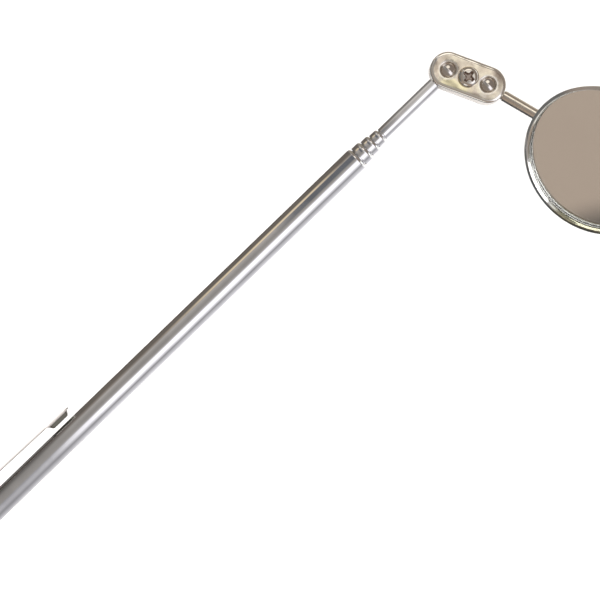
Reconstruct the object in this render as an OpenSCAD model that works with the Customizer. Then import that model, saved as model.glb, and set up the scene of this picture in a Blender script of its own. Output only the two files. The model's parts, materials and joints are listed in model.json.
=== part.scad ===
// Telescopic inspection mirror: a pen-sized tube with a pocket clip, three
// drawn tube sections and a rod sliding out of it, and a round mirror held by
// two balls clamped between a pair of plates.
// +X runs along the handle to the mirror, +Z is square to the plates, and +Y
// is the side of the pocket clip. The origin is the centre of the butt end.

/* [Handle] */
// Length of the handle tube
handle_len = 182; // [120:1:220]
// Outer radius of the handle tube
handle_r = 4; // [3:0.1:6]
// Wall of the handle tube
handle_wall = 0.4; // [0.3:0.1:1]
// Radius of the rolled-in nose of the handle tube
nose_r = 1.17; // [0.5:0.01:1.5]
// Length of the butt cap outside the tube, and of its spigot inside
cap_len = [7.2, 4]; // [2:0.1:12]
// Groove between the butt cap and the tube
cap_groove = 0.8; // [0.6:0.1:1.5]

/* [Drawn sections] */
// Radii of the three drawn tubes
tube_r = [2.8, 2.4, 2.0]; // [1.5:0.1:4]
// Wall of a drawn tube
tube_wall = 0.2; // [0.2:0.05:0.5]
// Radii of the three ferrules
ferrule_r = [3.55, 3.05, 2.55]; // [2:0.05:5]
// Lengths of the three ferrules
ferrule_len = [3.37, 3.1, 3.07]; // [2:0.01:6]
// Gaps in front of the handle nose and of each ferrule
ferrule_gap = [0.36, 0.33, 0.3, 0.4]; // [0.1:0.01:1]
// Radii of the rounded ferrule noses
ferrule_nose = [1.1, 1.0, 0.9]; // [0.3:0.1:1.5]
// Running clearance between each tube and the mouth it slides in
run_gap = 0.03; // [0.01:0.01:0.1]
// Length of each friction sleeve
sleeve_len = 8; // [5:0.5:12]

/* [Rod and balls] */
// Radius of the rod inside the tubes
rod_r = 1.6; // [1:0.05:2.5]
// Radius of the thick end of the rod
shank_r = 2.1; // [1.5:0.05:3]
// Distance from the butt end to the first ball
ball_x = 222.6; // [180:0.1:260]
// Radius of both balls, made from 5/16 inch balls
ball_r = 3.97; // [3:0.01:6]

/* [Clamp] */
// Distance between the two balls
ball_gap = 13.8; // [12:0.1:20]
// Angle of the plates from the handle
plate_turn = -64.5; // [-130:0.5:140]
// Radius of the plate ends
plate_r = 5.9; // [5:0.1:8]
// Thickness of a plate
plate_t = 1.0; // [0.8:0.1:2]
// Height of the inner faces of the plates from the middle
plate_z = 3.0; // [2.5:0.1:4]
// Rounding of the outer rims of the plates
plate_round = 0.7; // [0.2:0.1:0.9]
// Radius of the ball holes
hole_r = 2.6; // [2:0.1:3.5]
// Radius of the clamp screw
screw_r = 1.75; // [1:0.05:2.5]
// Radius of the screw head
head_r = 3.45; // [2.5:0.05:4]
// Height of the screw head
head_h = 2.1; // [1:0.1:3]
// Turn of the cross recess from the plates
cross_turn = -19; // [-45:1:45]
// Nut width across flats and height
nut_size = [6, 2.6]; // [2:0.1:8]

/* [Mirror head] */
// Turn of the stem from the handle
stem_turn = -76.2; // [-160:1:80]
// Rise of the stem out of the plane of the plates
stem_rise = 12.6; // [0:0.1:13]
// Turn of the mirror about the stem
mirror_turn = 38; // [-180:1:180]
// Radius of the stem
stem_r = 1.75; // [1:0.05:2]
// Radius of the stem's neck between the plates
stem_neck_r = 1.55; // [1:0.05:1.8]
// Radius of the stem spigot in the second ball
spigot_r = 1.3; // [0.8:0.05:1.4]
// Distance from the second ball to the middle of the mirror
mirror_x = 44.75; // [35:0.1:60]
// Outer radius of the mirror case
case_r = 25.4; // [20:0.1:30]
// Depth of the mirror case
case_h = 4.6; // [3:0.1:8]
// Sheet thickness of the case
case_t = 0.45; // [0.3:0.05:1]
// Radius of the rolled bead at the rim
bead_r = 0.55; // [0.3:0.05:1]
// Thickness of the glass
glass_t = 1.9; // [1:0.1:3]

/* [Pocket clip] */
// Start and end of the collar
collar_x = [8.5, 13.5]; // [8:0.1:20]
// Width of the clip strip
clip_w = 5; // [3:0.1:7]
// Thickness of the clip strip
clip_t = 0.45; // [0.3:0.05:0.8]
// Height of the strip where it leaves the collar and at the bend
clip_y = [8.07, 7.42]; // [5:0.01:10]
// Position of the bend and of the tip
clip_x = [47.3, 56.8]; // [30:0.1:80]
// Height of the strip at the tip
tip_y = 7.12; // [5:0.01:9]
// Lowest height of the boss under the tip
boss_y = 5.25; // [4.5:0.05:6]

/* [Hidden] */
fine = 72;
bore_r = handle_r - handle_wall;
tube_bore = [for (r = tube_r) r - tube_wall];
fx0 = handle_len + ferrule_gap[0];
fx1 = fx0 + ferrule_len[0] + ferrule_gap[1];
fx2 = fx1 + ferrule_len[1] + ferrule_gap[2];
ferrule_x = [fx0, fx1, fx2];
shank_x = fx2 + ferrule_len[2] + ferrule_gap[3];
mouth_r = [tube_r[1] + run_gap, tube_r[2] + run_gap, rod_r + run_gap];
tube_start = cap_len[0] + cap_groove;
tube_x0 = tube_start + cap_len[1] + 0.8;
tube_step = 0.5;
neck_x = ball_x - 5.5;
clip_root = [11.5, handle_r + 1.5 * clip_t + 0.25];
back_z = stem_r;
silver_t = 0.1;
pad_t = case_h - 1.6 - glass_t - silver_t - case_t;
chrome = [0.82, 0.83, 0.85];
nickel = [0.74, 0.69, 0.6];
brass = [0.78, 0.62, 0.3];
dark = [0.25, 0.25, 0.27];

// Points of an arc in a half-section: centre radius, centre height, radius.
function arc(cr, cz, r, a0, a1, n = 8) =
  [for (i = [0:n]) [
    cr + r * cos(a0 + (a1 - a0) * i / n),
    cz + r * sin(a0 + (a1 - a0) * i / n)
  ]];

// A half-section of radius and distance, turned about the handle axis.
module turned(points) {
  rotate([0, 90, 0])
    rotate_extrude($fn = fine)
      polygon(points);
}

// The frame of the plates: first ball at the origin, second ball along +X.
module on_plates() {
  translate([ball_x, 0, 0])
    rotate([0, 0, plate_turn])
      children();
}

// The frame of the head: second ball at the origin, stem along +X, and the
// mirror facing +Z.
module on_head() {
  translate([
    ball_x + ball_gap * cos(plate_turn),
    ball_gap * sin(plate_turn),
    0
  ])
    rotate([mirror_turn, -stem_rise, stem_turn])
      children();
}

// The frame of the mirror case: middle of its back at the origin.
module on_case() {
  on_head()
    translate([mirror_x, 0, back_z])
      children();
}

module handle_tube() {
  inner = nose_r - handle_wall;
  end_x = handle_len - nose_r;
  color(chrome)
    turned(concat(
      [[handle_r, tube_start]],
      arc(handle_r - nose_r, end_x, nose_r, 0, 90),
      arc(handle_r - nose_r, end_x, inner, 90, 0),
      [[bore_r, tube_start]]
    ));
}

// A solid cap as wide as the tube, with a dished end and a spigot pressed
// into the tube behind a narrow groove.
module butt_cap() {
  color(chrome)
    turned([
      [0, 0.5],
      [1.5, 0.4],
      [2.8, 0.15],
      [3.4, 0],
      [handle_r, 0],
      [handle_r, cap_len[0]],
      [bore_r, cap_len[0]],
      [bore_r, tube_start + cap_len[1]],
      [0, tube_start + cap_len[1]]
    ]);
}

module clip_collar() {
  color(chrome)
    turned([
      [handle_r, collar_x[0]],
      [handle_r + clip_t, collar_x[0]],
      [handle_r + clip_t, collar_x[1]],
      [handle_r, collar_x[1]]
    ]);
}

// Outline of the strip, seen from its edge: a root over the collar, an
// S-shaped riser, the straight strip and a small step before the tip.
module clip_outline() {
  h = clip_t / 2;
  root = clip_root;
  rise_r = 1.6;
  a1 = [root[0] + 1.5, root[1] + rise_r];
  p1 = [a1[0] + rise_r * cos(-30), a1[1] + rise_r * sin(-30)];
  rise = clip_y[0] - p1[1] - rise_r / 2;
  p2 = [p1[0] + rise / tan(60), p1[1] + rise];
  a2 = [p2[0] + rise_r * cos(-30), p2[1] + rise_r * sin(-30)];
  lower = concat(
    [[root[0], root[1] + h], [root[0], root[1] - h]],
    arc(a1[0], a1[1], rise_r + h, -90, -30),
    arc(a2[0], a2[1], rise_r - h, 150, 90),
    [[clip_x[0] - 0.4, clip_y[1] - h], [clip_x[0] + 0.4, tip_y - h + 0.02]],
    [[clip_x[1], tip_y - h]]
  );
  upper = concat(
    [[clip_x[1], tip_y + h]],
    [[clip_x[0] + 0.4, tip_y + h + 0.02], [clip_x[0] - 0.4, clip_y[1] + h]],
    arc(a2[0], a2[1], rise_r + h, 90, 150),
    arc(a1[0], a1[1], rise_r - h, -30, -90)
  );
  polygon(concat(lower, upper));
}

// Side view of the boat-shaped boss, shrunk by a wall thickness.
module boss_outline(wall) {
  x0 = clip_x[0] + 0.5;
  x1 = clip_x[1] - 0.4;
  polygon([
    [x0 + wall, tip_y + 0.22],
    [x0 + wall, tip_y - 0.22],
    [x0 + 1.4 + wall * 0.6, boss_y + wall],
    [x1 - 1.4 - wall * 0.6, boss_y + wall],
    [x1 - wall, tip_y - 0.22],
    [x1 - wall, tip_y + 0.22]
  ]);
}

module clip_arm() {
  color(chrome)
    difference() {
      union() {
        linear_extrude(height = clip_w, center = true)
          clip_outline();
        translate(clip_root)
          cylinder(r = clip_t / 2, h = clip_w, center = true, $fn = fine);
        linear_extrude(height = clip_w - 1.4, center = true)
          boss_outline(0);
      }
      linear_extrude(height = clip_w - 2.2, center = true)
        boss_outline(0.4);
      translate([clip_x[0] + 1.2, tip_y - 0.1, 1.1 - clip_w / 2])
        cube([clip_x[1] - clip_x[0] - 2.6, 1, clip_w - 2.2]);
    }
}

// One drawn tube, from its start inside the handle to its ferrule.
module drawn_tube(i) {
  end_x = ferrule_x[i] + ferrule_len[i] - ferrule_nose[i];
  color(chrome)
    turned([
      [tube_bore[i], tube_x0 + tube_step * i],
      [tube_r[i], tube_x0 + tube_step * i],
      [tube_r[i], end_x],
      [tube_bore[i], end_x]
    ]);
}

// The ferrule pressed on the end of a drawn tube.
module ferrule(i) {
  x0 = ferrule_x[i];
  x1 = x0 + ferrule_len[i];
  nose_x = x1 - ferrule_nose[i];
  color(chrome)
    turned(concat(
      [[tube_r[i], x0], [ferrule_r[i] - 0.08, x0], [ferrule_r[i], x0 + 0.08]],
      arc(ferrule_r[i] - ferrule_nose[i], nose_x, ferrule_nose[i], 0, 90),
      [[mouth_r[i], x1], [mouth_r[i], nose_x], [tube_r[i], nose_x]]
    ));
}

// A split spring sleeve that gives a sliding section its friction.
module sleeve(r_in, r_out, x0) {
  color(brass)
    difference() {
      turned([
        [r_in, x0],
        [r_out, x0],
        [r_out, x0 + sleeve_len],
        [r_in, x0 + sleeve_len]
      ]);
      translate([x0 - 1, 0, -0.4])
        cube([sleeve_len + 2, r_out + 1, 0.8]);
    }
}

module section_2_tube() {
  drawn_tube(0);
}

module section_2_ferrule() {
  ferrule(0);
}

module section_2_sleeve() {
  sleeve(tube_r[0], bore_r - run_gap, tube_x0);
}

module section_3_tube() {
  drawn_tube(1);
}

module section_3_ferrule() {
  ferrule(1);
}

module section_3_sleeve() {
  sleeve(tube_r[1], tube_bore[0] - run_gap, tube_x0 + tube_step);
}

module section_4_tube() {
  drawn_tube(2);
}

module section_4_ferrule() {
  ferrule(2);
}

module section_4_sleeve() {
  sleeve(tube_r[2], tube_bore[1] - run_gap, tube_x0 + tube_step * 2);
}

module rod_sleeve() {
  sleeve(rod_r + run_gap, tube_bore[2] - run_gap, tube_x0 + tube_step * 3);
}

// The rod: a slender length inside the tubes, a thick shank outside them and
// a neck that enters the first ball. A flange keeps the sleeve on it.
module rod() {
  x0 = tube_x0 + tube_step * 3 - 0.3;
  color(chrome)
    turned([
      [0, x0],
      [rod_r - 0.2, x0],
      [rod_r, x0 + 0.2],
      [rod_r, shank_x],
      [shank_r - 0.15, shank_x],
      [shank_r, shank_x + 0.15],
      [shank_r, neck_x - 0.5],
      [rod_r, neck_x],
      [rod_r, ball_x - 2],
      [0, ball_x - 2]
    ]);
}

module rod_ball() {
  color(chrome)
    difference() {
      translate([ball_x, 0, 0])
        sphere(r = ball_r, $fn = fine);
      translate([ball_x - 8, 0, 0])
        rotate([0, 90, 0])
          cylinder(r = rod_r, h = 6, $fn = fine);
    }
}

// Half-section of a plate from its middle line to its rounded rim.
function plate_side(w) = concat(
  [[0, 0], [w, 0]],
  arc(w - plate_round, plate_t - plate_round, plate_round, 0, 90, 5),
  [[0, plate_t]]
);

// An obround plate over both balls, with its inner face at height zero.
module plate_blank() {
  for (x = [0, ball_gap])
    translate([x, 0, 0])
      rotate_extrude($fn = fine)
        polygon(plate_side(plate_r));
  for (side = [0, 1])
    mirror([0, side, 0])
      rotate([90, 0, 90])
        linear_extrude(height = ball_gap)
          polygon(plate_side(plate_r));
}

module plate() {
  difference() {
    translate([0, 0, plate_z])
      plate_blank();
    for (x = [0, ball_gap]) {
      translate([x, 0, 0])
        sphere(r = ball_r + run_gap, $fn = fine);
      translate([x, 0, 0])
        cylinder(r = hole_r, h = 10, $fn = fine);
    }
    translate([ball_gap / 2, 0, 0])
      cylinder(r = screw_r + 0.1, h = 10, $fn = fine);
  }
}

module front_plate() {
  color(nickel)
    on_plates()
      plate();
}

module rear_plate() {
  color(nickel)
    on_plates()
      mirror([0, 0, 1])
        plate();
}

// A pan-head screw through both plates, with a cross recess.
module clamp_screw() {
  top = plate_z + plate_t;
  color(chrome)
    on_plates()
      translate([ball_gap / 2, 0, 0])
        difference() {
          rotate_extrude($fn = fine)
            polygon(concat(
              [[0, -top - nut_size[1] - 0.6]],
              [[screw_r - 0.3, -top - nut_size[1] - 0.6]],
              [[screw_r, -top - nut_size[1] - 0.3], [screw_r, top]],
              [[head_r, top]],
              arc(head_r - 1.3, top + head_h - 1.3, 1.3, 0, 90),
              [[0, top + head_h]]
            ));
          for (a = [0, 90])
            rotate([0, 0, cross_turn + a])
              translate([-1.9, -0.45, top + head_h - 1.2])
                cube([3.8, 0.9, 2]);
        }
}

module clamp_nut() {
  color(chrome)
    on_plates()
      translate([ball_gap / 2, 0, -plate_z - plate_t - nut_size[1]])
        difference() {
          cylinder(r = nut_size[0] / sqrt(3), h = nut_size[1], $fn = 6);
          translate([0, 0, -1])
            cylinder(r = screw_r, h = nut_size[1] + 2, $fn = fine);
        }
}

// The second ball, drilled for the spigot of the stem.
module stem_ball() {
  color(chrome)
    on_head()
      difference() {
        rotate([0, 0, 180])
          sphere(r = ball_r, $fn = fine);
        translate([-2.3, 0, 0])
          rotate([0, 90, 0])
            cylinder(r = spigot_r + run_gap, h = 10, $fn = fine);
      }
}

module mirror_stem() {
  color(nickel)
    on_head()
      turned([
        [0, -2],
        [spigot_r, -2],
        [spigot_r, ball_r + 0.2],
        [stem_neck_r, ball_r + 0.2],
        [stem_neck_r, ball_r + 2.3],
        [stem_r, ball_r + 2.65],
        [stem_r, mirror_x + 11.5],
        [stem_r - 0.5, mirror_x + 12],
        [0, mirror_x + 12]
      ]);
}

// Side view of the saddle strap: an arch round the stem with two flanges.
module saddle_outline() {
  t = 0.6;
  difference() {
    union() {
      circle(r = stem_r + t, $fn = fine);
      translate([-7, stem_r - t])
        square([14, t]);
      translate([-stem_r - t, 0])
        square([2 * (stem_r + t), stem_r]);
    }
    circle(r = stem_r, $fn = fine);
    translate([-stem_r, 0])
      square([2 * stem_r, stem_r + 1]);
    translate([-5, stem_r])
      square([10, 2]);
  }
}

module stem_saddle() {
  color(chrome)
    on_head()
      difference() {
        translate([mirror_x - 6, 0, 0])
          rotate([90, 0, 90])
            linear_extrude(height = 12)
              saddle_outline();
        for (y = [-4.7, 4.7])
          translate([mirror_x, y, 0])
            cylinder(r = 0.9, h = 4, $fn = 48);
      }
}

module saddle_rivets() {
  color(chrome)
    on_head()
      for (y = [-4.7, 4.7])
        translate([mirror_x, y, 0])
          rotate_extrude($fn = 48)
            polygon([
              [0, 0.15],
              [0.8, 0.25],
              [1.4, 0.6],
              [1.55, 0.9],
              [0.9, 0.9],
              [0.9, stem_r + case_t],
              [0, stem_r + case_t]
            ]);
}

// A pressed cup with a rolled bead round its mouth.
module mirror_case() {
  wall_r = case_r - 2 * bead_r + 0.15;
  turn_r = 1.5;
  bead_z = case_h - bead_r;
  color(chrome)
    on_case()
      difference() {
        rotate_extrude($fn = fine)
          polygon(concat(
            [[0, 0]],
            arc(wall_r - turn_r, turn_r, turn_r, -90, 0),
            [[wall_r, bead_z - bead_r]],
            arc(case_r - bead_r, bead_z, bead_r, -80, 180, 16),
            [[wall_r - case_t, bead_z - 1.3]],
            arc(wall_r - turn_r, turn_r, turn_r - case_t, 0, -90),
            [[0, case_t]]
          ));
        for (y = [-4.7, 4.7])
          translate([0, y, -1])
            cylinder(r = 0.9, h = 3, $fn = 48);
      }
}

module backing_pad() {
  color(dark)
    on_case()
      translate([0, 0, case_t])
        cylinder(r = case_r - 3.2, h = pad_t, $fn = fine);
}

module mirror_silvering() {
  color([0.9, 0.91, 0.92])
    on_case()
      translate([0, 0, case_t + pad_t])
        cylinder(r = case_r - 1.65, h = silver_t, $fn = fine);
}

module mirror_glass() {
  z0 = case_t + pad_t + silver_t;
  r = case_r - 1.42;
  color([0.7, 0.85, 0.85, 0.4])
    on_case()
      rotate_extrude($fn = fine)
        polygon([
          [0, z0],
          [r - 0.15, z0],
          [r, z0 + 0.3],
          [r, z0 + glass_t - 0.2],
          [r - 0.2, z0 + glass_t],
          [0, z0 + glass_t]
        ]);
}

handle_tube();
butt_cap();
clip_collar();
clip_arm();
section_2_tube();
section_2_ferrule();
section_2_sleeve();
section_3_tube();
section_3_ferrule();
section_3_sleeve();
section_4_tube();
section_4_ferrule();
section_4_sleeve();
rod_sleeve();
rod();
rod_ball();
front_plate();
rear_plate();
clamp_screw();
clamp_nut();
stem_ball();
mirror_stem();
stem_saddle();
saddle_rivets();
mirror_case();
backing_pad();
mirror_silvering();
mirror_glass();
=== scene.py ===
"""Telescopic inspection mirror: the visible metal, glass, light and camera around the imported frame.

The scene is in metres in the part's own frame: +X runs along the handle to the mirror, +Z is
square to the clamp plates and +Y is the side of the pocket clip. The sizes of the pieces are given
in millimetres and scaled by MM.
"""
import json
import math

import bmesh
import bpy
from mathutils import Matrix, Vector, geometry


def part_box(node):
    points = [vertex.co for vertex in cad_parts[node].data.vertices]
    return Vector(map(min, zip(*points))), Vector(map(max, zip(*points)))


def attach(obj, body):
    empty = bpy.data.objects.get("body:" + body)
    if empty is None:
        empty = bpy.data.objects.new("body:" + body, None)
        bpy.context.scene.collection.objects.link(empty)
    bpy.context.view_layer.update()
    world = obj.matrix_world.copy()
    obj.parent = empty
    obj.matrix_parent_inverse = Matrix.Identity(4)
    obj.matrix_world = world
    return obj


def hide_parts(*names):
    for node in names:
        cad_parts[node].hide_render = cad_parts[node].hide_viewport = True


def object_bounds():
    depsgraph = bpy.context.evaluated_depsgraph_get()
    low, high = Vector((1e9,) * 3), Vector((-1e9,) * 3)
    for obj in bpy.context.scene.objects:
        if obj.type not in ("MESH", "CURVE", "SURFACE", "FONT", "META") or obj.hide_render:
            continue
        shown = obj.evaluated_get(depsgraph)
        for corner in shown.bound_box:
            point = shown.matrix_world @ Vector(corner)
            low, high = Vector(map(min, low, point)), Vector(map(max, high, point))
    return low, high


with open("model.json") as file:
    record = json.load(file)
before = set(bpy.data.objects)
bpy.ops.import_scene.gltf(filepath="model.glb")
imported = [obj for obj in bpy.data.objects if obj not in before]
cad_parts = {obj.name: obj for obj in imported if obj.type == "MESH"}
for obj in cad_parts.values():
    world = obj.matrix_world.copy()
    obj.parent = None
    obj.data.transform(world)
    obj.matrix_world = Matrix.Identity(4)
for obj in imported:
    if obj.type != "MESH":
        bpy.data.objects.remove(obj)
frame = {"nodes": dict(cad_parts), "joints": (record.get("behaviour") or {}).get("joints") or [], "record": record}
cad_low, cad_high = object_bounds()

MM = 0.001
TURN = 128  # facets round a turned piece
HEAD_TURN = 720  # facets round the case, the silvering and the glass
MIRROR_X = 44.75  # from the second ball to the middle of the mirror
JOINTS = {j["name"]: j for j in frame["joints"]}
BALL_1 = Vector(JOINTS["plate_swing"]["pos_m"])
BALL_2 = Vector(JOINTS["stem_swing"]["pos_m"])
PLATE_TURN, STEM_TURN, STEM_RISE, MIRROR_TURN = -64.5, -76.2, 12.6, 38.0
BALL_GAP = (BALL_2 - BALL_1).length / MM

# ------------------------------------------------------------------ frames of the sub-assemblies


def turn(degrees, axis):
    return Matrix.Rotation(math.radians(degrees), 4, axis)


ON_HANDLE = Matrix.Identity(4)
ON_PLATES = Matrix.Translation(BALL_1) @ turn(PLATE_TURN, "Z")
ON_HEAD = (
    Matrix.Translation(BALL_2)
    @ turn(STEM_TURN, "Z")
    @ turn(-STEM_RISE, "Y")
    @ turn(MIRROR_TURN, "X")
)

# ------------------------------------------------------------------ node helpers


class Tree:
    """Short ways to add shader nodes to one node tree."""

    def __init__(self, tree):
        self.tree = tree

    def node(self, kind, **values):
        made = self.tree.nodes.new(kind)
        for key, value in values.items():
            setattr(made, key, value)
        return made

    def put(self, socket, value):
        if isinstance(value, bpy.types.NodeSocket):
            self.tree.links.new(value, socket)
        else:
            socket.default_value = value

    def where(self, kind="Object"):
        """Where the shaded point is in its piece's own space, or with "Normal" its normal; in the
        world "Generated" is the way looked."""
        return self.node("ShaderNodeTexCoord").outputs[kind]

    def split(self, vector):
        made = self.node("ShaderNodeSeparateXYZ")
        self.put(made.inputs[0], vector)
        return made.outputs

    def length(self, vector):
        made = self.node("ShaderNodeVectorMath", operation="LENGTH")
        self.put(made.inputs[0], vector)
        return made.outputs["Value"]

    def math(self, operation, a, b=None, c=None):
        made = self.node("ShaderNodeMath", operation=operation)
        for socket, value in zip(made.inputs, (a, b, c)):
            if value is not None:
                self.put(socket, value)
        return made.outputs[0]

    def vector(self, operation, a, b=None):
        made = self.node("ShaderNodeVectorMath", operation=operation)
        self.put(made.inputs[0], a)
        if b is not None:
            self.put(made.inputs[1], b)
        return made.outputs["Value" if operation == "DOT_PRODUCT" else "Vector"]

    def mix(self, factor, a, b):
        made = self.node("ShaderNodeMix", data_type="RGBA")
        self.put(made.inputs[0], factor)
        self.put(made.inputs[6], a)
        self.put(made.inputs[7], b)
        return made.outputs[2]

    def step(self, value, low, high, out_low=0.0, out_high=1.0):
        made = self.node("ShaderNodeMapRange", interpolation_type="SMOOTHSTEP")
        for socket, item in zip(made.inputs, (value, low, high, out_low, out_high)):
            self.put(socket, item)
        return made.outputs[0]

    def ramp(self, value, stops):
        made = self.node("ShaderNodeValToRGB")
        self.put(made.inputs[0], value)
        items = made.color_ramp.elements
        while len(items) < len(stops):
            items.new(0.5)
        for item, (place, colour) in zip(items, stops):
            item.position = place
            item.color = (*colour, 1.0)
        return made.outputs[0]

    def noise(self, scale, detail=3.0, stretch=(1, 1, 1), rough=0.5):
        mapped = self.node("ShaderNodeMapping")
        self.put(mapped.inputs["Vector"], self.where())
        mapped.inputs["Scale"].default_value = stretch
        made = self.node("ShaderNodeTexNoise")
        self.put(made.inputs["Vector"], mapped.outputs[0])
        made.inputs["Scale"].default_value = scale
        made.inputs["Detail"].default_value = detail
        made.inputs["Roughness"].default_value = rough
        return made.outputs["Fac"]

    def smudge(self, low, high):
        """Roughness of handled metal, cloudy between low and high."""
        return self.step(self.noise(420.0, 4.0), 0.3, 0.75, low, high)

    def hair(self, strength, stretch, scale=2600.0):
        """Normal of hairline scratches."""
        return self.bump(self.noise(scale, 2.0, stretch), strength, HAIR_DEPTH)

    def bump(self, height, strength, distance, under=None):
        made = self.node("ShaderNodeBump")
        made.inputs["Strength"].default_value = strength
        made.inputs["Distance"].default_value = distance
        self.put(made.inputs["Height"], height)
        if under is not None:
            self.put(made.inputs["Normal"], under)
        return made.outputs[0]


def rgb(colour):
    return (*colour, 1.0)


# ------------------------------------------------------------------ materials


def new_material(name):
    made = bpy.data.materials.new(name)
    made.use_nodes = True
    made.node_tree.nodes.clear()
    tree = Tree(made.node_tree)
    shader = tree.node("ShaderNodeBsdfPrincipled")
    out = tree.node("ShaderNodeOutputMaterial")
    tree.put(out.inputs["Surface"], shader.outputs[0])
    return made, tree, shader


# Stretches of the hairline scratches: drawn along the handle, or left by turning.
ALONG, ROUND = (0.02, 1.0, 1.0), (1.0, 0.25, 0.25)
HAIR_DEPTH = 0.00002


def plated(name, light, dark, rough, streak=(1, 1, 1), tarnish=0.0, tarnish_colour=None,
           scratch=0.05):
    """Plated metal: clouded tint, hairline scratches along the piece and smudged gloss."""
    made, tree, shader = new_material(name)
    cloud = tree.noise(140.0, 3.0)
    colour = tree.mix(tree.step(cloud, 0.35, 0.68), rgb(light), rgb(dark))
    if tarnish:
        stain = tree.noise(210.0, 4.0, rough=0.6)
        amount = tree.step(stain, 0.5, 0.75, 0.0, tarnish)
        colour = tree.mix(amount, colour, rgb(tarnish_colour))
    tree.put(shader.inputs["Base Color"], colour)
    shader.inputs["Metallic"].default_value = 1.0
    tree.put(shader.inputs["Roughness"], tree.smudge(rough, rough * 2.2))
    tree.put(shader.inputs["Normal"], tree.hair(scratch, streak))
    return made


def clip_metal():
    """Chrome, bright on the clip's outer side with matt light cut edges and a painted highlight band along
    the top of the boss; dull grey on its inner side, partly an unpolished underside and partly painted
    shade; near black on the boss's inner faces as painted shade.
    """
    made, tree, shader = new_material("clip_chrome")
    facing = tree.split(tree.where("Normal"))
    upward = tree.math("ABSOLUTE", facing[2])
    # Faces turned towards the tube: dull grey, partly an unpolished underside and partly painted shade.
    inner = tree.step(facing[1], -0.15, -0.4)
    # The strip's cut edges facing up and down are matt and light-coloured.
    cut_edge_and_highlight = tree.step(upward, 0.6, 0.85)
    cut_edge_and_highlight = tree.math("MULTIPLY", cut_edge_and_highlight, tree.math("SUBTRACT", 1.0, inner))
    height = tree.split(tree.where())[1]
    # Painted highlight: a band of the boss's sides just under the strip gets the cut edges' light matt colour.
    highlight_band = tree.step(upward, 0.12, 0.3)
    highlight_band = tree.math("MULTIPLY", highlight_band, tree.step(height, 6.55 * MM, 6.75 * MM))
    cut_edge_and_highlight = tree.math("MAXIMUM", cut_edge_and_highlight, highlight_band)
    inner = tree.math("MULTIPLY", inner, tree.math("SUBTRACT", 1.0, highlight_band))
    # Painted shade: below the strip the boss's inner faces take the near-black colour set below.
    boss = tree.step(height, 6.7 * MM, 6.5 * MM)
    cloud = tree.noise(300.0, 3.0)
    bright = tree.mix(cloud, rgb((0.86, 0.85, 0.84)), rgb((0.78, 0.76, 0.75)))
    # Light matt colour of the cut edges and of the painted highlight band.
    bright = tree.mix(cut_edge_and_highlight, bright, rgb((0.80, 0.77, 0.75)))
    # Inner side: dull grey, partly unpolished and partly painted shade; near black in the boss as painted shade.
    dull = tree.mix(cloud, rgb((0.52, 0.48, 0.44)), rgb((0.40, 0.37, 0.34)))
    pressed = tree.mix(cloud, rgb((0.24, 0.235, 0.20)), rgb((0.16, 0.16, 0.135)))
    dull = tree.mix(boss, dull, pressed)
    tree.put(shader.inputs["Base Color"], tree.mix(inner, bright, dull))
    tree.put(shader.inputs["Metallic"], tree.math("MULTIPLY_ADD", cut_edge_and_highlight, -0.5, 1.0))
    rough = tree.math("MULTIPLY_ADD", inner, 0.3, 0.06)
    tree.put(shader.inputs["Roughness"], tree.math("MULTIPLY_ADD", cut_edge_and_highlight, 0.5, rough))
    tree.put(shader.inputs["Normal"], tree.hair(0.08, ALONG))
    return made


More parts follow.
